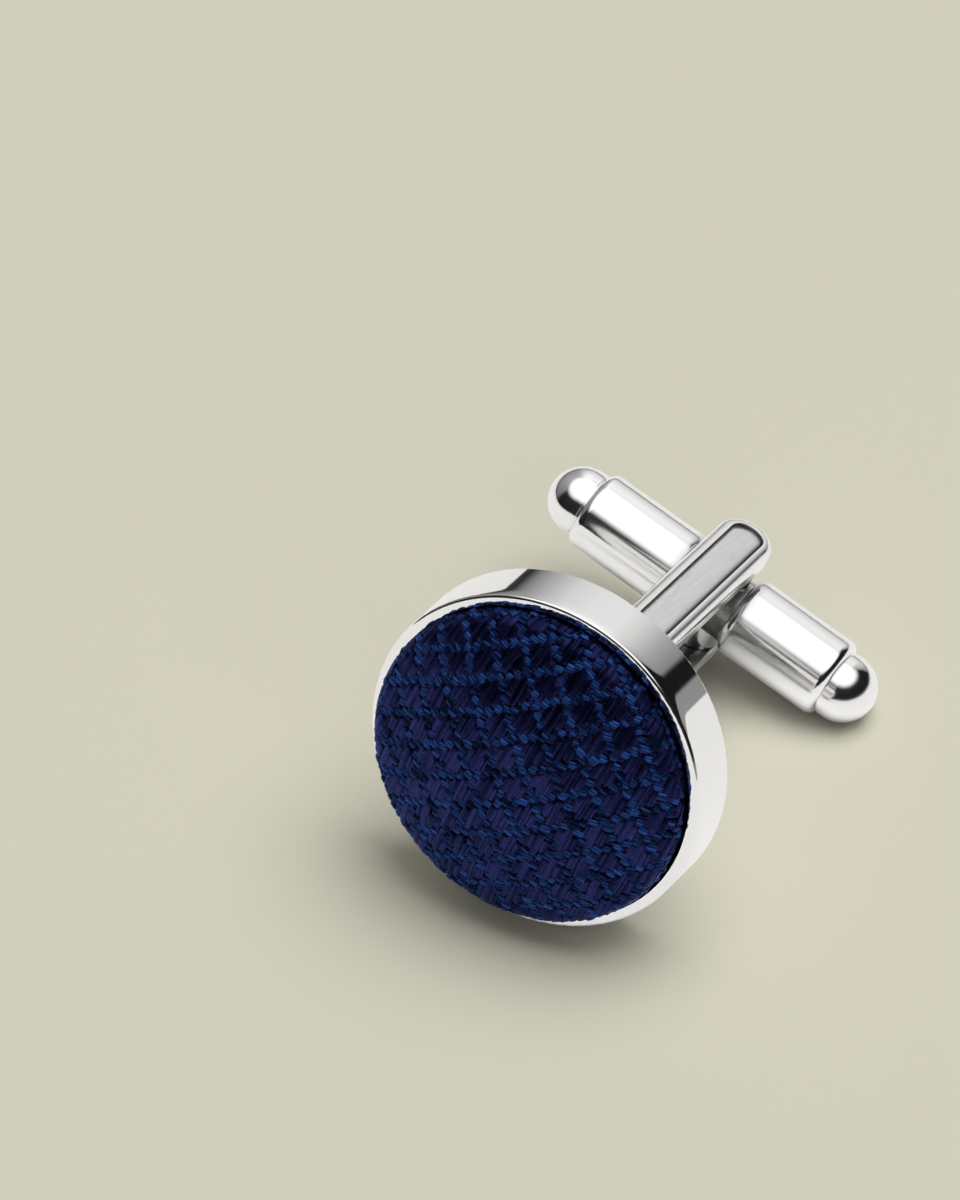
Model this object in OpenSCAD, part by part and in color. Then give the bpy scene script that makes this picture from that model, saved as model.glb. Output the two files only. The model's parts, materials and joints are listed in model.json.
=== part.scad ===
// Round cufflink with a silk-covered face and a swivel-bar back.
// It lies as it rests by itself: the cup's rim, the lower prong's end and one barrel of the swivel bar
// touch the surface, so it is rolled to one side.
// The frame stands on that surface: +Z is up and the face looks towards -Y, tilted up.
// The origin is on the surface, below the middle of the object's box.
// Each piece is drawn in the cufflink's own frame first: its Z is the cup's axis, with the cup's back at 0,
// the silk face above and the fork below, its Y is the hinge line and its X the swivel bar.

/* [Cup] */
// Diameter of the cup
cup_d = 17.2; // [15:0.1:19]
// Depth of the cup, from its back to its lip
cup_h = 3.1; // [2.8:0.1:4]
// Thickness of the side wall, which is the width of the lip
wall_t = 0.55; // [0.4:0.05:0.7]
// Thickness of the cup's back
back_t = 0.8; // [0.6:0.1:1]
// Radius on the cup's outer edges
edge_r = 0.16; // [0.1:0.02:0.2]

/* [Silk pad] */
// Height of the pad's crown above the lip
crown_h = 2.7; // [2.2:0.1:3.2]
// Radius of the pad's rolled shoulder
roll_r = 0.8; // [0.6:0.05:1]
// Height of the pad's widest place above the lip
roll_h = 0.36; // [0.2:0.02:0.5]
// Gap between the pad's widest place and the line of the cup's inner wall
roll_gap = 0.04; // [0.02:0.01:0.1]
// Gap between the pad and the cup inside
pad_gap = 0.14; // [0.1:0.02:0.3]
// Gap between the pad and the cup's floor
floor_gap = 0.03; // [0.02:0.01:0.1]

/* [Fork] */
// Width of each prong
prong_w = 2.9; // [2.6:0.1:3.2]
// Thickness of each prong
prong_t = 1.25; // [1:0.05:1.4]
// Radius on the outer edges of a prong
prong_edge_r = 0.5; // [0.4:0.02:0.6]
// Radius on the inner edges of a prong
prong_inner_r = 0.12; // [0.08:0.02:0.2]
// Open width between the prongs
fork_gap = 5; // [4.8:0.1:5.6]
// Distance from the cup's back to the hinge line
shank_l = 15.7; // [14:0.1:17]
// Reach of the prongs past the hinge line
prong_reach = 1.85; // [1.6:0.05:2.2]
// Width of the shallow panel sunk into a prong's outer face
panel_w = 1.76; // [1.76:0.02:1.8]
// Depth of that panel
panel_t = 0.14; // [0.06:0.02:0.16]
// Radius on the panel's corners, nearly half its width, so that its ends are round like the prong's
panel_corner_r = 0.86; // [0.4:0.02:0.87]
// Distance from the cup's back to the start of the panel
panel_start = 2.6; // [2:0.1:4]
// Distance from the cup's back to the end of the panel
panel_end = 16.96; // [16.4:0.02:16.98]
// Thickness of the soldered foot
foot_t = 1; // [0.8:0.1:1.4]
// Margin of the foot around the prongs
foot_margin = 0.3; // [0.2:0.05:0.5]

/* [Swivel bar] */
// Length of the bar from tip to tip
bar_l = 19; // [17:0.5:21]
// Diameter of the two barrels
barrel_d = 4.1; // [3.9:0.05:4.4]
// Length of a domed tip, from the barrel's end
tip_l = 2.15; // [1.9:0.05:2.4]
// Diameter of the domed tips
tip_d = 3.42; // [3:0.02:3.5]
// Width of the fine groove between a barrel and its tip
groove_w = 0.08; // [0.06:0.02:0.2]
// Depth of that groove below the tip
groove_h = 0.06; // [0.04:0.02:0.2]
// Radius on a barrel's outer end
barrel_edge_r = 0.5; // [0.2:0.02:0.6]
// Radius on a barrel's inner end
neck_edge_r = 0.5; // [0.1:0.02:0.6]
// Width of the waist between the barrels
waist_w = 3.1; // [3:0.1:3.4]
// Diameter of the waist
waist_d = 3.4; // [3:0.1:3.6]
// Diameter of the hub that the pin passes through
hub_d = 2.7; // [2.4:0.1:2.8]
// Gap between the hub's ends and the prongs
hub_gap = 0.05; // [0.03:0.01:0.1]

/* [Pivot pin] */
// Diameter of the pin
pin_d = 1; // [0.8:0.1:1.2]
// Radial play between the pin and the bar
pin_play = 0.05; // [0.02:0.01:0.08]
// Depth of the pin's blind seat in each prong
pin_seat = 0.85; // [0.6:0.05:0.95]
// Clearance around the pin in its seats
seat_gap = 0.02; // [0.01:0.01:0.04]

/* [Hidden] */
$fn = 96;

cup_r = cup_d / 2;
inner_r = cup_r - wall_t;
lip_bevel = 0.05;

// Pad: a spherical crown that runs into the rolled shoulder, a hair below its top where they meet
pad_r = inner_r - roll_gap;
roll_centre_r = pad_r - roll_r;
roll_centre_z = cup_h + roll_h;
crown_over_roll = crown_h - roll_h;
sunk_roll_r = roll_r - 0.002;
crown_r = (pow(roll_centre_r, 2) + pow(crown_over_roll, 2) - pow(sunk_roll_r, 2))
    / (2 * (crown_over_roll - sunk_roll_r));
crown_centre_z = cup_h + crown_h - crown_r;
crown_meets_roll_r = roll_centre_r * crown_r / (crown_r - sunk_roll_r);

// Fork
prong_half_w = prong_w / 2;
prong_in_y = fork_gap / 2;
prong_out_y = prong_in_y + prong_t;
prong_end_z = -(shank_l + prong_reach - prong_half_w);

// Swivel bar
barrel_r = barrel_d / 2;
tip_r = tip_d / 2;
barrel_end_x = bar_l / 2 - tip_l;
hub_half_l = fork_gap / 2 - hub_gap;

// Pose at rest: how far the rim, the lower prong's end and the lower barrel reach down below the middle of
// the cup's back, with the cup's axis tilted by a from level and the cufflink rolled by r about it
function rim_drop(a) = (cup_r - edge_r) * cos(a) - edge_r * sin(a) + edge_r;
function prong_drop(a, r) = (prong_out_y - prong_edge_r) * cos(a) * cos(r)
    + (prong_half_w - prong_edge_r) * norm([cos(a) * sin(r), sin(a)]) - prong_end_z * sin(a) + prong_edge_r;
function barrel_drop(a, r) = (barrel_end_x - barrel_edge_r) * cos(a) * sin(r)
    + (barrel_r - barrel_edge_r) * norm([cos(a) * cos(r), sin(a)]) + shank_l * sin(a) + barrel_edge_r;
function unevenness(a, r) = [rim_drop(a) - prong_drop(a, r), prong_drop(a, r) - barrel_drop(a, r)];

// Settles the two angles by Newton's method until all three reach down equally
function settled(a, r, steps) = steps == 0 ? [a, r] : let (
    e = unevenness(a, r),
    ea = (unevenness(a + 0.01, r) - e) / 0.01,
    er = (unevenness(a, r + 0.01) - e) / 0.01,
    det = ea[0] * er[1] - er[0] * ea[1]
) settled(a - (e[0] * er[1] - er[0] * e[1]) / det, r - (ea[0] * e[1] - e[0] * ea[1]) / det, steps - 1);

rest_angles = settled(16, 16, 8);
rest_tilt = rest_angles[0];
rest_roll = rest_angles[1];
front_reach = crown_r + crown_centre_z * cos(rest_tilt);
rear_reach = (prong_out_y - prong_edge_r) * cos(rest_roll) * sin(rest_tilt)
    + (prong_half_w - prong_edge_r) * norm([sin(rest_roll) * sin(rest_tilt), cos(rest_tilt)])
    - prong_end_z * cos(rest_tilt) + prong_edge_r;
rest_y = (front_reach - rear_reach) / 2;
rest_z = rim_drop(rest_tilt);

module laid() {
    translate([0, rest_y, rest_z]) rotate([90 - rest_tilt, 0, 0]) rotate([0, 0, -rest_roll]) children();
}

// The waste outside a quarter round of radius r, in the corner where x and y are positive
module corner_waste(r) {
    difference() {
        square(r + 1);
        circle(r);
    }
}

// A block from (0, low) to (wide, high) with its two outer corners rounded
module rounded_half(wide, low, high, low_r, high_r) {
    difference() {
        translate([0, low]) square([wide, high - low]);
        translate([wide - low_r, low + low_r]) rotate(-90) corner_waste(low_r);
        translate([wide - high_r, high - high_r]) corner_waste(high_r);
    }
}

module cup() {
    rotate_extrude() difference() {
        rounded_half(cup_r, 0, cup_h, edge_r, edge_r);
        translate([0, back_t]) square([inner_r, cup_h]);
        translate([inner_r, cup_h]) rotate(45) square(lip_bevel * sqrt(2), center = true);
    }
}

// Half of a prong's section: x is half its width, y its thickness, flat inside and rounded outside
module prong_half_section() {
    rounded_half(prong_half_w, 0, prong_t, prong_inner_r, prong_edge_r);
}

module prong() {
    translate([0, prong_in_y, prong_end_z]) linear_extrude(-prong_end_z) {
        prong_half_section();
        mirror([1, 0]) prong_half_section();
    }
    translate([0, prong_in_y, prong_end_z]) rotate([-90, 0, 0]) rotate_extrude() prong_half_section();
}

// A block centred on the origin with four rounded corners
module rounded_block(wide, high, corner_r) {
    square([wide - 2 * corner_r, high], center = true);
    square([wide, high - 2 * corner_r], center = true);
    for (sx = [-1, 1], sy = [-1, 1])
        translate([sx * (wide / 2 - corner_r), sy * (high / 2 - corner_r)]) circle(corner_r);
}

// The waste sunk out of the outer face of the prong at positive y
module panel_waste() {
    panel_l = panel_end - panel_start;
    translate([0, prong_out_y - panel_t, -panel_start - panel_l / 2]) rotate([-90, 0, 0])
        linear_extrude(panel_t + 1) rounded_block(panel_w, panel_l, panel_corner_r);
}

module foot() {
    translate([0, 0, -foot_t]) linear_extrude(foot_t)
        rounded_block(prong_w + 2 * foot_margin, 2 * (prong_out_y + foot_margin), prong_edge_r + foot_margin);
}

module cup_and_fork() {
    color("gainsboro") laid() difference() {
        union() {
            cup();
            foot();
            prong();
            mirror([0, 1, 0]) prong();
        }
        translate([0, 0, -shank_l]) rotate([90, 0, 0])
            cylinder(h = fork_gap + 2 * pin_seat, r = pin_d / 2 + seat_gap, center = true);
        panel_waste();
        mirror([0, 1, 0]) panel_waste();
    }
}

module silk_pad() {
    body_r = inner_r - pad_gap;
    floor_z = back_t + floor_gap;
    color("midnightblue") laid() rotate_extrude() {
        translate([0, floor_z]) square([body_r, roll_centre_z - floor_z]);
        translate([0, floor_z]) square([roll_centre_r, roll_centre_z + roll_r / 2 - floor_z]);
        translate([roll_centre_r, roll_centre_z]) circle(roll_r);
        intersection() {
            translate([0, crown_centre_z]) circle(crown_r, $fn = 360);
            translate([0, roll_centre_z]) square([crown_meets_roll_r, crown_over_roll + roll_r]);
        }
    }
}

// Half of the swivel bar's turned outline: x is the radius, y runs along the bar
module bar_half_outline() {
    waist_half = waist_w / 2;
    square([waist_d / 2, waist_half + barrel_r / 2]);
    translate([0, waist_half])
        rounded_half(barrel_r, 0, barrel_end_x - waist_half, neck_edge_r, barrel_edge_r);
    square([tip_r - groove_h, barrel_end_x + 2 * groove_w]);
    translate([0, barrel_end_x + groove_w]) square([tip_r, bar_l / 2 - tip_r - barrel_end_x - groove_w]);
    intersection() {
        translate([0, bar_l / 2 - tip_r]) circle(tip_r);
        translate([0, barrel_end_x + groove_w]) square([tip_r, tip_l]);
    }
}

module toggle() {
    color("lightgray") laid() translate([0, 0, -shank_l]) difference() {
        union() {
            rotate([0, 90, 0]) rotate_extrude() {
                bar_half_outline();
                mirror([0, 1]) bar_half_outline();
            }
            rotate([90, 0, 0]) cylinder(h = 2 * hub_half_l, d = hub_d, center = true);
        }
        rotate([90, 0, 0]) cylinder(h = fork_gap, r = pin_d / 2 + pin_play, center = true);
    }
}

module pivot_pin() {
    color("silver") laid() translate([0, 0, -shank_l]) rotate([90, 0, 0])
        cylinder(h = fork_gap + 2 * (pin_seat - seat_gap), d = pin_d, center = true);
}

cup_and_fork();
silk_pad();
toggle();
pivot_pin();
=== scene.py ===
import json
import math
import random
from typing import NamedTuple

import bpy
import numpy as np
from mathutils import Matrix, Vector


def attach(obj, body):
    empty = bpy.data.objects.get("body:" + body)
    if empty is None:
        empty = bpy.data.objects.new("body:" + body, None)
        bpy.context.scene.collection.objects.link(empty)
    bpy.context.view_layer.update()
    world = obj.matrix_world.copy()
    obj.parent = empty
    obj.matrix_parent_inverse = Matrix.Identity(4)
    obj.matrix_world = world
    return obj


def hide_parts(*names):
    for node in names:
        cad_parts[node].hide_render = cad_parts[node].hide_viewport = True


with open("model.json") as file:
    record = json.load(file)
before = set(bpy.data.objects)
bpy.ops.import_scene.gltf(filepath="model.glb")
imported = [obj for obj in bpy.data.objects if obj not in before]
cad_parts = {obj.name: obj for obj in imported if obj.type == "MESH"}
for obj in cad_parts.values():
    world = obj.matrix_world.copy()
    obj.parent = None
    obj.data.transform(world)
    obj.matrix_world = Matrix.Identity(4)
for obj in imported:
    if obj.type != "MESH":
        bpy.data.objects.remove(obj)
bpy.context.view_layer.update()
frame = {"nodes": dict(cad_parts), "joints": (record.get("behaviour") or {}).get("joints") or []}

MM = 0.001
scene = bpy.context.scene
scene.view_settings.view_transform = "Standard"

# The cufflink's own frame
# As in the CAD, in mm: Z is the cup's axis with its back at 0 and the face above, Y the hinge line, X the swivel
# bar. The hinge line lies SHANK_L behind the cup's back, and its place and direction come from the joint.
SHANK_L = 15.7
hinge = frame["joints"][0]
own_y = Vector(hinge["axis"]).normalized()
own_z = Vector((0, -own_y.z, own_y.y)).normalized()
own_x = own_y.cross(own_z)
own_origin = Vector(hinge["pos_m"]) + own_z * SHANK_L * MM
own_turn = Matrix((own_x, own_y, own_z)).transposed()
OWN_R, OWN_T = np.array(own_turn), np.array(own_origin)


def to_row(points):
    """Points in the cufflink's own frame, in mm, to the row frame in metres."""
    return np.asarray(points) * MM @ OWN_R.T + OWN_T


# Node helpers
def node(tree, kind, values=(), **props):
    """A new shader node. Each of values is a number, a vector or a colour for an input, or a socket to link to it."""
    made = tree.nodes.new("ShaderNode" + kind)
    for key, value in props.items():
        setattr(made, key, value)
    for key, value in dict(values).items():
        if isinstance(value, bpy.types.NodeSocket):
            tree.links.new(value, made.inputs[key])
        else:
            made.inputs[key].default_value = value
    return made


def new_material(name):
    mat = bpy.data.materials.new(name)
    mat.use_nodes = True
    tree = mat.node_tree
    tree.nodes.clear()
    bsdf = node(tree, "BsdfPrincipled")
    node(tree, "OutputMaterial", {0: bsdf.outputs[0]})
    return mat, tree, bsdf


def own_coords(tree):
    """Object coordinates turned into the cufflink's own frame, in mm."""
    back = own_turn.inverted()
    values = {
        "Vector": node(tree, "TexCoord").outputs["Object"],
        "Location": back @ (-own_origin) / MM,
        "Rotation": back.to_euler(),
        "Scale": (1 / MM,) * 3,
    }
    return node(tree, "Mapping", values, vector_type="POINT").outputs[0]


def calc(tree, op, a, b=0.0):
    return node(tree, "Math", {0: a, 1: b}, operation=op).outputs[0]


def plus(tree, a, b):
    return calc(tree, "ADD", a, b)


def times(tree, a, b):
    return calc(tree, "MULTIPLY", a, b)


def largest(tree, a, b):
    return calc(tree, "MAXIMUM", a, b)


def between(tree, value, low, high, to_low, to_high, steps="LINEAR"):
    """to_low where value is low, to_high where it is high, going from one to the other between them."""
    values = {"Value": value, "From Min": low, "From Max": high, "To Min": to_low, "To Max": to_high}
    return node(tree, "MapRange", values, interpolation_type=steps).outputs[0]


def noise(tree, coords, scale, stretch=(1, 1, 1), detail=3.0, rough=0.55):
    spread = node(tree, "Mapping", {"Vector": coords, "Scale": stretch}, vector_type="POINT").outputs[0]
    values = {"Vector": spread, "Scale": scale, "Detail": detail, "Roughness": rough}
    return node(tree, "TexNoise", values).outputs["Fac"]


def ramp(tree, value, stops):
    made = node(tree, "ValToRGB", {0: value})
    elements = made.color_ramp.elements
    while len(elements) < len(stops):
        elements.new(0.5)
    for element, (at, colour) in zip(elements, stops):
        element.position = at
        element.color = (*colour, 1)
    return made.outputs[0]


def mix_colour(tree, share, a, b):
    """Colour a where share is 0 and colour b where it is 1."""
    a, b = ((*value, 1) if isinstance(value, tuple) else value for value in (a, b))
    return node(tree, "Mix", {0: share, 6: a, 7: b}, data_type="RGBA").outputs[2]


def bump(tree, height, distance, strength, normal=None):
    values = {"Height": height, "Distance": distance, "Strength": strength}
    if normal is not None:
        values["Normal"] = normal
    return node(tree, "Bump", values).outputs[0]


def grey(v):
    return (v, v, v)


# Metal
# The plating's colour for a brightness of 1: clean, a little dulled, and the darkest, used for patinated hollows
# and for painted shade. Then how deep its lines, marks and pits are, in metres.
CLEAN, DULLED, DARK = (1.0, 0.993, 0.985), (0.94, 0.93, 0.92), (0.03, 0.027, 0.025)
LINES_DEEP, MARKS_DEEP, PITS_DEEP = 0.00002, 0.00005, 0.00001


def polished(name, base, rough, wear, grain, satin, patina_and_shade=None, shape=None, relief=None):
    """Bright plated metal: fine polishing lines, faint handling marks and a slow change of gloss. base is its
    brightness, rough its roughness, wear what the marks add to that and grain how strong lines and marks are.
    satin gives the roughness added by place and where the surface is pitted, patina_and_shade how dark the metal is,
    from patinated hollows and from painted shade, shape its smooth normal and relief its height in mm."""
    mat, tree, bsdf = new_material(name)
    at = own_coords(tree)
    slow = noise(tree, at, 0.35, detail=2.0)
    marks = noise(tree, at, 2.6, stretch=(1, 1, 3), detail=6.0, rough=0.7)
    lines = noise(tree, at, 9.0, stretch=(0.25, 0.25, 4.0), detail=2.0)
    pits = noise(tree, at, 7.0, stretch=(2.5, 1, 0.35))

    clean, dulled, dark = (tuple(base * part for part in tint) for tint in (CLEAN, DULLED, DARK))
    colour = mix_colour(tree, between(tree, slow, 0.3, 0.7, 0.97, 1.0), dulled, clean)
    # Darkening towards the darkest colour: partly the metal's own tone, partly painted shade.
    if patina_and_shade is not None:
        colour = mix_colour(tree, patina_and_shade(tree, at), colour, dark)
    tree.links.new(colour, bsdf.inputs["Base Color"])
    bsdf.inputs["Metallic"].default_value = 1.0

    more, pitted = satin(tree, at)
    worn = between(tree, marks, 0.45, 0.75, 0.0, wear)
    gloss = plus(tree, worn, between(tree, slow, 0.3, 0.7, rough * 0.8, rough * 1.2))
    tree.links.new(plus(tree, gloss, more), bsdf.inputs["Roughness"])

    fine = shape(tree, at) if shape else None
    if relief is not None:
        fine = bump(tree, relief(tree, at), MM, 1.0, fine)
    fine = bump(tree, lines, LINES_DEEP * grain, 0.25, fine)
    fine = bump(tree, marks, MARKS_DEEP * grain, 0.2, fine)
    fine = bump(tree, times(tree, pits, pitted), PITS_DEEP, 0.5, fine)
    tree.links.new(fine, bsdf.inputs["Normal"])
    return mat


# The cup and the fork, in mm, as in the CAD. The fork is what lies behind FORK_TOP. A sunk panel's floor lies
# PANEL_FLOOR from the fork's middle and starts at PANEL_TOP, and its prong's round end is centred at PRONG_END.
# The last two lines are the roughness added by place and how the wall turns in, from TURN_IN_FROM up.
CUP_H, WALL_OUT, EDGE_R, LIP_FLAT_R = 3.1, 8.6, 0.16, 8.22
FORK_TOP, PRONG_END, PRONG_OUTER = -0.05, 16.1, (3.2, 3.35)
PANEL_TOP, PANEL_FLOOR, PANEL_NEAR, PANEL_HALF = -2.0, 3.62, 0.07, 0.9
FORK_ROUGH, EDGE_ROUGH, PANEL_ROUGH = 0.13, 0.03, 0.14
TURN_IN_FROM, TURN_IN = 2.2, 0.05
# The neck ends between these distances from the toggle's middle. Then its roughness, pitting and painted shade.
NECK_END, NECK_ROUGH, NECK_PITTED, NECK_PAINTED_SHADE = (1.7, 2.3), 0.05, 0.1, 0.415


def fork_parts(tree, at):
    """A place's own coordinates, its distance from the prong's middle line, which stops at the centre of the round
    end, its distance from the fork's middle, and 1 on the floors of the sunk panels on the prongs' outer faces."""
    split = node(tree, "SeparateXYZ", {0: at})
    past_end = calc(tree, "MINIMUM", plus(tree, split.outputs["Z"], PRONG_END), 0.0)
    offset = node(tree, "CombineXYZ", {0: split.outputs["X"], 1: 0.0, 2: past_end}).outputs[0]
    across = node(tree, "VectorMath", {0: offset}, operation="LENGTH").outputs["Value"]
    out = calc(tree, "ABSOLUTE", split.outputs["Y"])
    off_floor = calc(tree, "ABSOLUTE", calc(tree, "SUBTRACT", out, PANEL_FLOOR))
    near_floor = calc(tree, "LESS_THAN", off_floor, PANEL_NEAR)
    inside = times(tree, calc(tree, "LESS_THAN", across, PANEL_HALF), near_floor)
    behind = calc(tree, "LESS_THAN", split.outputs["Z"], PANEL_TOP)
    return split, across, out, times(tree, inside, behind)


def cup_satin(tree, at):
    """The fork is less glossy than the cup, and its rounded outer edges a little less again. Its panels are
    brushed."""
    split, across, out, panel = fork_parts(tree, at)
    fork = calc(tree, "LESS_THAN", split.outputs["Z"], FORK_TOP)
    rounded = between(tree, across, PANEL_HALF, 1.0, 0.0, EDGE_ROUGH)
    edge = times(tree, rounded, between(tree, out, *PRONG_OUTER, 0.0, 1.0))
    on_fork = times(tree, fork, plus(tree, edge, FORK_ROUGH))
    return plus(tree, on_fork, times(tree, panel, PANEL_ROUGH)), panel


def cup_patina_and_shade(tree, at):
    """The panels are a little darker than the rims around them, unevenly along the brushing. Along their edges, most
    of all on one side, and on the faces between the prongs, the metal is darkened: painted shade."""
    split, across, out, panel = fork_parts(tree, at)
    streaks = between(tree, noise(tree, at, 3.0, stretch=(6, 1, 0.2)), 0.3, 0.7, 0.04, 0.2)
    # Painted shade along the panels' long edges, heaviest on the +X side.
    shaded_side = between(tree, split.outputs["X"], 0.6, 0.8, 0.0, 0.95)
    edge = largest(tree, between(tree, across, 0.78, 0.87, 0.0, 0.8), shaded_side)
    panel_tone_and_shade = times(tree, panel, largest(tree, streaks, edge))
    # Painted shade on the faces between the prongs.
    fork = calc(tree, "LESS_THAN", split.outputs["Z"], FORK_TOP)
    shade_between_prongs = times(tree, between(tree, out, 2.5, 2.7, 0.5, 0.0), fork)
    return largest(tree, panel_tone_and_shade, shade_between_prongs)


def panel_relief(tree, at):
    """The panels' floors are pressed, and fall off towards their long edges by up to 0.1 mm."""
    _, across, _, panel = fork_parts(tree, at)
    near_edge = calc(tree, "POWER", calc(tree, "DIVIDE", across, 0.85), 5.0)
    return times(tree, panel, times(tree, near_edge, -0.1))


def cup_normal(tree, at):
    """The cup's smooth normal, worked out from its profile, so that its mirror-like wall and rounded edges show no
    facets. The wall turns in slightly towards the lip. The fork keeps the mesh's own normal."""
    split = node(tree, "SeparateXYZ", {0: at})
    height = split.outputs["Z"]
    flat = node(tree, "CombineXYZ", {0: split.outputs["X"], 1: split.outputs["Y"], 2: 0.0}).outputs[0]
    radius = node(tree, "VectorMath", {0: flat}, operation="LENGTH").outputs["Value"]
    radial = node(tree, "VectorMath", {0: flat}, operation="NORMALIZE").outputs["Vector"]
    outward = largest(tree, calc(tree, "SUBTRACT", radius, WALL_OUT - EDGE_R), 0.0)
    over_lip = largest(tree, calc(tree, "SUBTRACT", height, CUP_H - EDGE_R), 0.0)
    under_back = calc(tree, "MINIMUM", calc(tree, "SUBTRACT", height, EDGE_R), 0.0)
    near_lip = largest(tree, calc(tree, "SUBTRACT", height, TURN_IN_FROM), 0.0)
    turned_in = times(tree, calc(tree, "POWER", near_lip, 3.0), TURN_IN)
    upward = plus(tree, plus(tree, over_lip, under_back), turned_in)
    out = node(tree, "VectorMath", {0: radial, 3: outward}, operation="SCALE").outputs["Vector"]
    up = node(tree, "CombineXYZ", {0: 0.0, 1: 0.0, 2: upward}).outputs[0]
    own = node(tree, "VectorMath", {0: out, 1: up}, operation="ADD").outputs["Vector"]
    turned = {"Vector": own, "Rotation": own_turn.to_euler()}
    on_object = node(tree, "Mapping", turned, vector_type="VECTOR").outputs[0]
    in_world = node(
        tree, "VectorTransform", {0: on_object},
        vector_type="NORMAL", convert_from="OBJECT", convert_to="WORLD",
    ).outputs[0]
    on_rim = calc(tree, "GREATER_THAN", radius, LIP_FLAT_R)
    on_cup = times(tree, on_rim, calc(tree, "GREATER_THAN", height, -0.01))
    plain = node(tree, "NewGeometry").outputs["Normal"]
    chosen = node(tree, "Mix", {0: on_cup, 4: plain, 5: in_world}, data_type="VECTOR").outputs[1]
    return node(tree, "VectorMath", {0: chosen}, operation="NORMALIZE").outputs["Vector"]


def on_neck(tree, at):
    """1 on the neck between the toggle's barrels and 0 on the barrels."""
    split = node(tree, "SeparateXYZ", {0: at})
    return between(tree, calc(tree, "ABSOLUTE", split.outputs["X"]), *NECK_END, 1.0, 0.0)


def neck_satin(tree, at):
    """The neck is less polished than the barrels and slightly pitted."""
    neck = on_neck(tree, at)
    return times(tree, neck, NECK_ROUGH), times(tree, neck, NECK_PITTED)


# Painted shade: the neck between the barrels is darkened.
def neck_painted_shade(tree, at):
    return times(tree, on_neck(tree, at), NECK_PAINTED_SHADE)


def dress(node_name, mat):
    obj = frame["nodes"][node_name]
    obj.data.materials.clear()
    obj.data.materials.append(mat)


dress("cup_and_fork", polished(
    "cup_and_fork_metal", base=0.93, rough=0.035, wear=0.04, grain=0.02,
    satin=cup_satin, patina_and_shade=cup_patina_and_shade, shape=cup_normal, relief=panel_relief,
))
dress("toggle", polished(
    "toggle_metal", base=0.95, rough=0.115, wear=0.05, grain=0.03, satin=neck_satin, patina_and_shade=neck_painted_shade,
))
dress("pivot_pin", polished("pivot_pin_metal", base=0.85, rough=0.25, wear=0.1, grain=1.0, satin=neck_satin))

# The pad's shape, in mm, as in the CAD: a crown, a rolled shoulder and a foot in the cup, a little off the middle
INNER_R, CROWN_H, WALL_R = 8.05, 2.7, 8.0
ROLL_R, ROLL_H, ROLL_GAP, BODY_R = 0.85, 0.3, 0.05, 7.9
LEAN_X, LEAN_Y = -0.08, -0.08
CROWN_STEPS, ROLL_STEPS, FOOT_STEPS, FOOT_STEP = 60, 40, 8, 0.1
roll_centre_r = INNER_R - ROLL_GAP - ROLL_R
rise = CROWN_H - ROLL_H
crown_r = (roll_centre_r ** 2 + rise ** 2 - ROLL_R ** 2) / (2 * (rise - ROLL_R))
crown_end = math.asin(roll_centre_r / (crown_r - ROLL_R))


def meridian():
    """The pad's outline from its crown outwards, over the shoulder and down into the cup: arc, radius, height
    above the lip, and the outline's angle from level."""
    rows = []
    for k in range(CROWN_STEPS + 1):
        a = crown_end * k / CROWN_STEPS
        rows.append((crown_r * math.sin(a), CROWN_H - crown_r * (1 - math.cos(a)), a))
    roll_end = math.pi - math.asin((BODY_R - roll_centre_r) / ROLL_R)
    for k in range(1, ROLL_STEPS + 1):
        a = crown_end + (roll_end - crown_end) * k / ROLL_STEPS
        rows.append((roll_centre_r + ROLL_R * math.sin(a), ROLL_H + ROLL_R * math.cos(a), a))
    foot = rows[-1][1]
    for k in range(1, FOOT_STEPS + 1):
        rows.append((BODY_R, foot - FOOT_STEP * k, math.pi / 2))
    r, h, slope = np.array(rows).T
    arc = np.concatenate([[0], np.cumsum(np.hypot(np.diff(r), np.diff(h)))])
    return arc, r, h, slope


ARC, ARC_R, ARC_H, ARC_A = meridian()
# Below the lip the cloth stays within WALL_R. Above it, it may stand further out, by PROUD from PROUD_H up.
PROUD, PROUD_H = 0.3, 0.25


def on_pad(a, b, lift):
    """Points of the cloth, a along the bar and b across it from the crown, in mm of cloth, lifted off the pad."""
    a, b, lift = np.broadcast_arrays(a, b, lift)
    arc = np.hypot(a, b)
    r = np.interp(arc, ARC, ARC_R)
    h = np.interp(arc, ARC, ARC_H)
    slope = np.interp(arc, ARC, ARC_A)
    safe = np.maximum(arc, 1e-9)
    radial = r + lift * np.sin(slope)
    x, y = radial * a / safe + LEAN_X, radial * -b / safe + LEAN_Y
    up = CUP_H + h + lift * np.cos(slope)
    over = np.clip((up - CUP_H) / PROUD_H, 0, 1)
    shrink = np.minimum(1, (WALL_R + PROUD * over) / np.maximum(np.hypot(x, y), 1e-9))
    return np.stack([x * shrink, y * shrink, up], -1)


# The padding under the threads
CORE_LIFT, CORE_FLOOR = -0.13, 0.9
CORE_RINGS, CORE_TURNS = 110, 144


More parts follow.
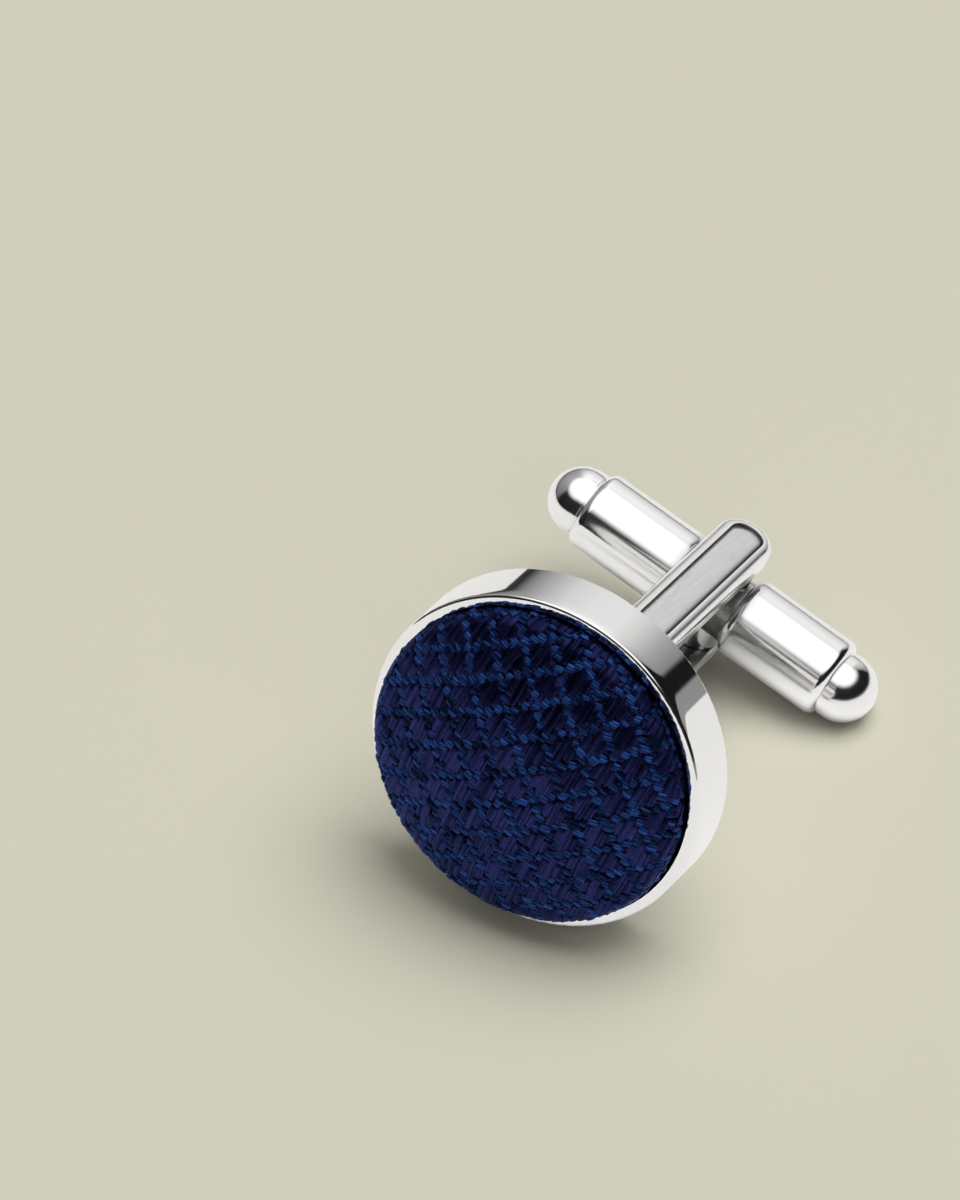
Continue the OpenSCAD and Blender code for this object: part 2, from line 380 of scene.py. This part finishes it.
def make_core():
    """A closed, crowned pad just below the threads, near-black as painted shade in their gaps, down to CORE_FLOOR in
    the cup.
    """
    rings, turns = CORE_RINGS, CORE_TURNS
    around = np.arange(turns) * 2 * math.pi / turns
    verts = [on_pad(0.0, 0.0, CORE_LIFT)]
    for arc in np.linspace(0, ARC[-1], rings + 1)[1:]:
        verts.append(on_pad(arc * np.cos(around), arc * np.sin(around), CORE_LIFT))
    foot = verts[-1].copy()
    foot[:, 2] = CORE_FLOOR
    verts += [foot, np.array([0, 0, CORE_FLOOR])]
    verts = np.vstack([v.reshape(-1, 3) for v in verts])
    quads, tris = [], []
    for k in range(turns):
        n = (k + 1) % turns
        tris.append((0, 1 + n, 1 + k))
        for ring in range(rings):
            p, q = 1 + ring * turns, 1 + (ring + 1) * turns
            quads.append((p + k, p + n, q + n, q + k))
        tris.append((len(verts) - 1, 1 + rings * turns + k, 1 + rings * turns + n))
    mesh = bpy.data.meshes.new("silk_pad_core")
    mesh.from_pydata(to_row(verts).tolist(), [], quads + tris)
    mesh.update()
    for polygon in mesh.polygons:
        polygon.use_smooth = True
    obj = bpy.data.objects.new("silk_pad_core", mesh)
    scene.collection.objects.link(obj)
    return obj


# The weave
# Bird's-eye twill on a cell of 6 warp ends by 6 picks. "o" is where the weft shows as a pip.
CHART = (
    "o.....",
    ".o...o",
    "..o.o.",
    "...o..",
    "..o.o.",
    ".o...o",
)
CELL = len(CHART)
# The distances between ends and between picks, and where the chart starts, in mm of cloth from the crown.
END_W, PICK_H = 2.2 / CELL, 2.13 / CELL
START_A, START_B = 1.45, 3.95
# The cloth ends CLOTH_FOOT below the lip, and a strand starts at DIVE, below the pad's surface.
CLOTH_FOOT, DIVE = 0.25, -0.14
CLOTH_ARC = float(ARC[np.argmax(ARC_H < -CLOTH_FOOT)])


class Thread(NamedTuple):
    """How one kind of strand is drawn, with lengths in mm."""
    lengthwise: str  # the direction that it runs in on the cloth, a or b
    across: int  # mesh steps over its width
    along: int  # and over its length
    ribs: int  # filaments side by side
    crown: float  # how far its sides lie below its middle
    groove: float  # depth of the grooves between filaments
    ramp: float  # length over which it comes up out of the cloth
    jagged: float  # how unevenly its filaments end
    alike: float  # share of its tone that its filaments have in common
    loose: float  # how far it may lie askew, in radians


WEFT = Thread("a", 12, 8, 3, 0.08, 0.03, 0.15, 0.06, 0.35, 0.25)
WARP = Thread("b", 16, 7, 4, 0.045, 0.012, 0.2, 0.07, 0.15, 0.05)
# Longer warp floats have more steps over their length, by the picks that they run over.
WARP_ALONG = {4: 10, 6: 14}


def strand(kind, centre, length, width, top, rng):
    """One bundle of fine filaments that comes up out of the cloth, runs over it and dives back in. Gives the cloth
    coordinates and lift of its points, the tone of their filament and how open to the light they are, for painted
    shade."""
    s = np.linspace(0, 1, kind.along + 1)
    q = np.linspace(-1, 1, kind.across + 1)
    up = np.clip(np.minimum(s, 1 - s) * length / kind.ramp, 0, 1)
    up = up * up * (3 - 2 * up)
    belly = np.sin(np.pi * s) ** 0.8
    lift = DIVE + (top - DIVE) * up + 0.02 * belly * min(1, length / 1.6)
    half = width / 2 * (0.78 + 0.22 * up + 0.06 * belly)
    rib = np.abs(np.sin(np.pi * kind.ribs * (q + 1) / 2)) ** 0.7
    section = -kind.crown * np.abs(q) ** 2.2 - kind.groove * (1 - rib)
    bend = rng.uniform(-0.02, 0.02)
    which = np.clip(((q + 1) / 2 * kind.ribs).astype(int), 0, kind.ribs - 1)
    shades = np.array([rng.random() for _ in range(kind.ribs)])
    shifts = np.array([rng.uniform(-kind.jagged, kind.jagged) for _ in range(kind.ribs)])
    run = ((s - 0.5) * length)[:, None] + shifts[which][None, :]
    side = q[None, :] * half[:, None] + bend * np.sin(np.pi * s)[:, None]
    turn = rng.uniform(-kind.loose, kind.loose)
    run, side = run * math.cos(turn) - side * math.sin(turn), run * math.sin(turn) + side * math.cos(turn)
    z = lift[:, None] + section[None, :] * (0.55 + 0.45 * up[:, None])
    tone = kind.alike * rng.random() + (1 - kind.alike) * shades[which]
    tone = np.repeat(tone[None, :], len(s), 0)
    # Openness, used as painted shade: low in the grooves between filaments, where the strand dives and at its sides.
    is_open = (0.04 + 0.96 * up[:, None]) * (0.08 + 0.92 * rib[None, :]) * (1 - 0.3 * np.abs(q[None, :]) ** 3)
    if kind.lengthwise == "b":
        return centre[0] + side, centre[1] + run, z, tone, is_open
    return centre[0] + run, centre[1] - side, z, tone, is_open


def over_cloth(start, step, spare=0):
    """The numbers of steps from start that reach over the cloth, and spare ones past each edge."""
    first = math.floor((-CLOTH_ARC - start) / step) - spare
    last = math.ceil((CLOTH_ARC - start) / step) + spare
    return range(first, last + 1)


def weave():
    """The strands of the cloth: all its warp floats and all its weft pips."""
    rng = random.Random(20)
    floats, pips = [], []
    for i in over_cloth(START_A, END_W):
        a = START_A + i * END_W
        column = [j for j in over_cloth(START_B, PICK_H, CELL) if CHART[j % CELL][i % CELL] == "o"]
        for j in column:
            b = START_B + j * PICK_H
            if math.hypot(a, b) > CLOTH_ARC:
                continue
            centre = (a + rng.uniform(-0.05, 0.05), b + rng.uniform(-0.05, 0.05))
            length, width = END_W * rng.uniform(1.45, 2.05), PICK_H * rng.uniform(0.85, 1.25)
            pips.append(strand(WEFT, centre, length, width, rng.uniform(0.03, 0.09), rng))
        for j, k in zip(column, column[1:]):
            picks = k - j
            b = START_B + (j + k) / 2 * PICK_H
            if math.hypot(a, b) > CLOTH_ARC:
                continue
            centre = (a + rng.uniform(-0.02, 0.02), b + rng.uniform(-0.02, 0.02))
            length, width = (picks - 0.45) * PICK_H * rng.uniform(0.95, 1.04), END_W * rng.uniform(0.98, 1.12)
            kind = WARP._replace(along=WARP_ALONG.get(picks, WARP.along))
            floats.append(strand(kind, centre, length, width, rng.uniform(0.005, 0.05), rng))
    return floats, pips


def join(name, strands):
    """One mesh of all these strands, each point with its tone and its openness as attributes."""
    verts, faces, tones, opens, start = [], [], [], [], 0
    for a, b, lift, tone, is_open in strands:
        points = on_pad(a, b, lift)
        ids = start + np.arange(tone.size).reshape(tone.shape)
        quads = np.stack([ids[:-1, :-1], ids[:-1, 1:], ids[1:, 1:], ids[1:, :-1]], -1)
        verts.append(points.reshape(-1, 3))
        faces.append(quads.reshape(-1, 4))
        tones.append(tone.ravel())
        opens.append(is_open.ravel())
        start += tone.size
    faces = np.vstack(faces).astype(np.int32)
    mesh = bpy.data.meshes.new(name)
    mesh.vertices.add(start)
    mesh.vertices.foreach_set("co", to_row(np.vstack(verts)).astype(np.float32).ravel())
    mesh.loops.add(faces.size)
    mesh.loops.foreach_set("vertex_index", faces.ravel())
    mesh.polygons.add(len(faces))
    mesh.polygons.foreach_set("loop_start", np.arange(0, faces.size, 4, dtype=np.int32))
    mesh.update(calc_edges=True)
    mesh.polygons.foreach_set("use_smooth", np.full(len(faces), True))
    mesh.validate()
    for key, values in (("tone", tones), ("open", opens)):
        layer = mesh.attributes.new(key, "FLOAT", "POINT")
        layer.data.foreach_set("value", np.concatenate(values).astype(np.float32))
    obj = bpy.data.objects.new(name, mesh)
    scene.collection.objects.link(obj)
    print(name, len(strands), "strands", len(faces) * 2, "triangles")
    return obj


def silk(name, dark, light, rough, along, mirror, varied=0.7, threads=True):
    """Silk filaments: colour by filament and by place, streaks along the filaments, painted shade between filaments
    and where a strand dives.
    varied is how much of the range from dark to light the filaments' tones take up."""
    mat, tree, bsdf = new_material(name)
    at = own_coords(tree)
    stretch = (3, 0.8, 1.5) if along == "b" else (0.8, 3, 1.5)
    fibre = noise(tree, at, 4.5, stretch=stretch, detail=4.0, rough=0.7)
    patch = noise(tree, at, 0.6, detail=2.0)
    if threads:
        tone = node(tree, "Attribute", attribute_name="tone").outputs["Fac"]
        tone = between(tree, tone, 0.0, 1.0, 0.35 - varied / 2, 0.35 + varied / 2)
        value = plus(tree, tone, times(tree, fibre, 0.35))
    else:
        value = times(tree, fibre, 0.9)
    value = plus(tree, value, between(tree, patch, 0.3, 0.7, -0.08, 0.08))
    colour = ramp(tree, value, ((0.28, dark), (0.85, light)))
    if threads:
        # Painted shade: black where a strand is closed to the light.
        is_open = node(tree, "Attribute", attribute_name="open").outputs["Fac"]
        colour = mix_colour(tree, is_open, grey(0.0), colour)
    tree.links.new(colour, bsdf.inputs["Base Color"])
    tree.links.new(between(tree, fibre, 0.3, 0.7, rough + 0.07, rough - 0.07), bsdf.inputs["Roughness"])
    tree.links.new(bump(tree, fibre, 0.00003, 0.6), bsdf.inputs["Normal"])
    bsdf.inputs["Metallic"].default_value = mirror
    bsdf.inputs["Specular IOR Level"].default_value = 0.12
    bsdf.inputs["Specular Tint"].default_value = (0.6, 0.68, 1.0, 1)
    bsdf.inputs["Sheen Weight"].default_value = 0.03
    bsdf.inputs["Sheen Roughness"].default_value = 0.45
    bsdf.inputs["Sheen Tint"].default_value = (0.3, 0.26, 0.85, 1)
    return mat


core = make_core()
warp_floats, weft_pips = weave()
warp = join("silk_warp", warp_floats)
weft = join("silk_weft", weft_pips)
warp_mat = silk(
    "silk_warp_threads", dark=(0.0012, 0.0022, 0.016), light=(0.043, 0.051, 0.22),
    rough=0.28, along="b", mirror=0.9, varied=0.45,
)
weft_mat = silk(
    "silk_weft_threads", dark=(0.0014, 0.007, 0.032), light=(0.035, 0.118, 0.47),
    rough=0.34, along="a", mirror=0.6,
)
# Near-black: painted shade for the gaps between the threads.
core_mat = silk(
    "silk_core_cloth", dark=(0.0015, 0.0018, 0.008), light=(0.004, 0.005, 0.02),
    rough=0.7, along="b", mirror=0.0, threads=False,
)
for obj, mat in ((core, core_mat), (warp, warp_mat), (weft, weft_mat)):
    obj.data.materials.append(mat)
    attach(obj, "cufflink")
    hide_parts("silk_pad")

# Floor, in metres
# The camera sees pale card, with a contact shadow painted on it where the cufflink stands. The metal mirrors a
# round white sheet, and past that sheet's edge a dark room on the left and a grey one on the right.
CARD, CARD_PAINTED_SHADOW, CONTACT_REACH = (0.68, 0.658, 0.536), (0.31, 0.3, 0.245), 0.012
SHEET, SHEET_MIDDLE, SHEET_EDGE = (0.9, 0.895, 0.88), (-0.11, 0.0, 0.0), (0.29, 0.31)
FAR_LEFT, FAR_RIGHT, FAR_CHANGE = grey(0.025), grey(0.3), (-0.02, 0.02)
bpy.ops.mesh.primitive_plane_add(size=4, location=(0, 0, 0))
floor = bpy.context.object
floor.name = "studio_floor"
mat, tree, bsdf = new_material("studio_floor")
bsdf.inputs["Roughness"].default_value = 0.9
bsdf.inputs["Specular IOR Level"].default_value = 0.1
spot = node(tree, "TexCoord").outputs["Object"]
away = node(tree, "VectorMath", {0: spot, 1: SHEET_MIDDLE}, operation="DISTANCE").outputs["Value"]
to_right = node(tree, "SeparateXYZ", {0: spot}).outputs["X"]
beyond = mix_colour(tree, between(tree, to_right, *FAR_CHANGE, 0.0, 1.0), FAR_LEFT, FAR_RIGHT)
mirrored = mix_colour(tree, between(tree, away, *SHEET_EDGE, 0.0, 1.0), SHEET, beyond)
# Painted contact shadow: the card darkens where little open sky reaches it.
open_sky = node(tree, "AmbientOcclusion", {"Distance": CONTACT_REACH}, samples=8).outputs["AO"]
seen = mix_colour(tree, between(tree, open_sky, 0.2, 0.5, 0.0, 1.0), CARD_PAINTED_SHADOW, CARD)
by_camera = node(tree, "LightPath").outputs["Is Camera Ray"]
tree.links.new(mix_colour(tree, by_camera, mirrored, seen), bsdf.inputs["Base Color"])
floor.data.materials.append(mat)

# Light
# The metal mirrors a sweep that is bright behind the cufflink, grey on the left, dark to the front and right and
# dimmer near the horizon, a soft box overhead and a low grey skirting on the right. The cloth and the floor are lit
# by a broad light almost overhead, a weak lower one at the front right and a faint dome.
# Bearings are in degrees from +Y towards +X, heights are the upward part of the direction.
SWEEP_BEARINGS = (
    (-118, 0.02), (-106, 0.25), (-62, 0.4), (-40, 0.4), (-33, 0.5), (-29, 0.66), (-20, 0.93), (-10, 1.0),
    (4, 1.0), (10, 0.87), (15, 0.72), (20, 0.53), (25, 0.4), (27, 0.36), (28, 0.01), (150, 0.02),
)
SWEEP_HEIGHTS = (
    (0.0, 0.05), (0.03, 0.2), (0.07, 0.45), (0.12, 0.58), (0.24, 0.71), (0.375, 0.8), (0.5, 0.88), (0.62, 1.0),
    (1.0, 1.1),
)
BOX_HEIGHTS, BOX_STRENGTH = (0.62, 0.84), 1.1
SKIRTING_TOP, SKIRTING_GREY, SKIRTING_START = (0.055, 0.075), 0.27, (-0.05, 0.05)
DOME = 0.09
world = bpy.data.worlds.new("studio")
scene.world = world
world.use_nodes = True
world.cycles.sampling_method = "NONE"
tree = world.node_tree
tree.nodes.clear()
direction = node(tree, "TexCoord").outputs["Generated"]
split = node(tree, "SeparateXYZ", {0: direction})
height = split.outputs["Z"]
turned = calc(tree, "ARCTAN2", split.outputs["X"], split.outputs["Y"])
around = plus(tree, calc(tree, "DIVIDE", turned, 2 * math.pi), 0.5)
bearing = ramp(tree, around, [((b + 180) / 360, grey(v)) for b, v in SWEEP_BEARINGS])
rising = ramp(tree, height, [(h, grey(v)) for h, v in SWEEP_HEIGHTS])
overhead = between(tree, height, *BOX_HEIGHTS, 0.0, BOX_STRENGTH, steps="SMOOTHSTEP")
on_right = between(tree, split.outputs["X"], *SKIRTING_START, 0.0, 1.0)
skirting = times(tree, between(tree, height, *SKIRTING_TOP, SKIRTING_GREY, 0.01), on_right)
mirrored = largest(tree, largest(tree, times(tree, bearing, rising), overhead), skirting)


def lamp(bearing_deg, height_deg, edge_deg, core_deg, peak):
    """A soft-edged patch of light at a bearing and an angle above the horizon: how far out its edge and its even
    core reach, and its strength."""
    a, e = math.radians(bearing_deg), math.radians(height_deg)
    at = Vector((math.sin(a) * math.cos(e), math.cos(a) * math.cos(e), math.sin(e)))
    facing = node(tree, "VectorMath", {0: direction, 1: at}, operation="DOT_PRODUCT").outputs["Value"]
    edge, core = math.cos(math.radians(edge_deg)), math.cos(math.radians(core_deg))
    return between(tree, facing, edge, core, 0.0, peak, steps="SMOOTHSTEP")


lamps = plus(tree, lamp(46, 76, 33, 9, 4.9), lamp(140, 35, 31, 8, 0.8))
lighting = plus(tree, lamps, DOME)
soft = node(tree, "LightPath").outputs["Is Diffuse Ray"]
strength = node(tree, "Mix", {0: soft, 2: mirrored, 3: lighting}).outputs[0]
background = node(tree, "Background", {"Color": (1, 1, 1, 1), "Strength": strength})
node(tree, "OutputWorld", {0: background.outputs[0]})

# Camera, in metres
# It looks down at 46 degrees from the front right, through a long lens. The middle of the frame falls on the
# surface up and left of the cufflink, as in the photograph. CAM_SHIFT is the last step of the fit, to the right
# and up.
CAM_AIM = Vector((-0.01156, 0.00701, 0.0))
CAM_DISTANCE = 0.4398
CAM_BACK = Vector((0.33974, -0.60886, 0.71684)).normalized()
CAM_RIGHT = Vector((0.87782, 0.47891, -0.00927))
CAM_RIGHT = (CAM_RIGHT - CAM_BACK * CAM_RIGHT.dot(CAM_BACK)).normalized()
CAM_UP = CAM_BACK.cross(CAM_RIGHT)
CAM_SHIFT = (0.000024, 0.000063)
cam_data = bpy.data.cameras.new("camera")
cam_data.sensor_width = 36
cam_data.lens = 270
cam_data.clip_start, cam_data.clip_end = 0.01, 10
cam = bpy.data.objects.new("camera", cam_data)
cam.location = CAM_AIM + CAM_BACK * CAM_DISTANCE + CAM_RIGHT * CAM_SHIFT[0] + CAM_UP * CAM_SHIFT[1]
cam.rotation_mode = "QUATERNION"
cam.rotation_quaternion = Matrix((CAM_RIGHT, CAM_UP, CAM_BACK)).transposed().to_quaternion()
scene.collection.objects.link(cam)
scene.camera = cam
